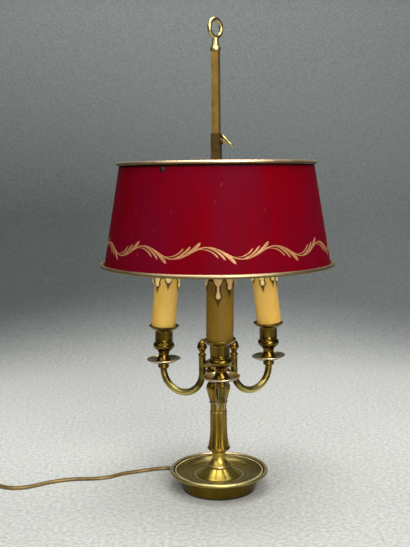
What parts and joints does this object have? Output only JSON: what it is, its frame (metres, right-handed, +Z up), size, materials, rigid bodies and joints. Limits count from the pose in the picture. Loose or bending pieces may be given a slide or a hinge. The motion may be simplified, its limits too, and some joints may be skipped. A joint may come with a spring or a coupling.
{
  "type": "table lamp",
  "caption": "Brass candlestick table lamp with dished foot, U-shaped candle arms, sliding red tole shade on a square rod, ring finial, and a lead with hand switch and plug.",
  "frame": {"origin": "middle of the foot's felt underside, on the surface that the lamp stands on", "axes": "+Z up along the stem and rod; -Y towards the front candle arm; +X to the right"},
  "size_m": [0.5535, 0.26, 0.5256],
  "materials": {
    "patinated_brass": "turned and polished brass under an old lacquer",
    "rod_brass": "drawn brass bar, worn satin",
    "dark_brass": "brass tube with a brown patina",
    "gilt_rim": "gold lacquered wire bead",
    "red_tole": "burgundy enamel paint on sheet iron with a gilt frieze",
    "candle_card": "card tube dipped in cream wax paint with drips",
    "phenolic": "black moulded phenolic",
    "opal_glass": "opal glass",
    "nickel": "nickel plate",
    "steel": "plain steel",
    "cast_iron": "rough cast iron",
    "felt": "green felt",
    "gold_flex": "gold flat twin flex",
    "core_insulation": "insulated cores",
    "brown_plastic": "brown moulded plastic",
    "cream_plastic": "cream moulded plastic"
  },
  "bodies": {
    "root": {"arm_cap_front": "patinated_brass", "arm_cap_left": "patinated_brass", "arm_cap_right": "patinated_brass", "arm_collars": "patinated_brass", "arm_front": "patinated_brass", "arm_hub": "patinated_brass", "arm_leads": "core_insulation", "arm_left": "patinated_brass", "arm_right": "patinated_brass", "base_cover": "steel", "base_dish": "patinated_brass", "base_felt": "felt", "base_weight": "cast_iron", "bulb_caps": "nickel", "bulb_glass_front": "opal_glass", "bulb_glass_left": "opal_glass", "bulb_glass_right": "opal_glass", "candle_cup_front": "patinated_brass", "candle_cup_left": "patinated_brass", "candle_cup_right": "patinated_brass", "candle_sleeve_front": "candle_card", "candle_sleeve_left": "candle_card", "candle_sleeve_right": "candle_card", "cord_bush": "phenolic", "cord_coil": "gold_flex", "cord_tail": "gold_flex", "drip_pan_front": "patinated_brass", "drip_pan_left": "patinated_brass", "drip_pan_right": "patinated_brass", "holder_brackets": "steel", "holder_nuts": "steel", "lampholder_front": "phenolic", "lampholder_left": "phenolic", "lampholder_right": "phenolic", "plug_body": "brown_plastic", "plug_lead": "gold_flex", "plug_pins": "nickel", "ring_finial": "rod_brass", "rod_socket": "patinated_brass", "shade_rod": "rod_brass", "splice_block": "phenolic", "stem_column": "patinated_brass", "stem_dome": "patinated_brass", "stem_knop": "patinated_brass", "stem_lead": "core_insulation", "supply_cord": "gold_flex", "switch_body": "brown_plastic", "switch_cover": "brown_plastic", "tie_nut": "steel", "tie_rod": "steel", "tie_washer": "steel"},
    "shade": {"slide_sleeve": "dark_brass", "shade_spider": "rod_brass", "shade_shell": "red_tole", "shade_top_rim": "gilt_rim", "shade_bottom_rim": "gilt_rim", "shade_screws": "dark_brass"},
    "thumb_screw": {"thumb_screw": "rod_brass"},
    "rocker": {"switch_rocker": "cream_plastic"}
  },
  "joints": [
    {"name": "shade_slide", "type": "slide", "parent": "root", "child": "shade", "axis": [0, 0, 1], "range_m": [-0.184, 0.088]},
    {"name": "thumb_screw_turn", "type": "hinge", "parent": "shade", "child": "thumb_screw", "pos_m": [0, 0, 0.3934], "axis": [0.9397, -0.342, 0], "range_deg": [0, 540]},
    {"name": "rocker_tilt", "type": "hinge", "parent": "root", "child": "rocker", "pos_m": [-0.319, 0.0305, 0.012], "axis": [0, 1, 0], "range_deg": [0, 16]}
  ]
}
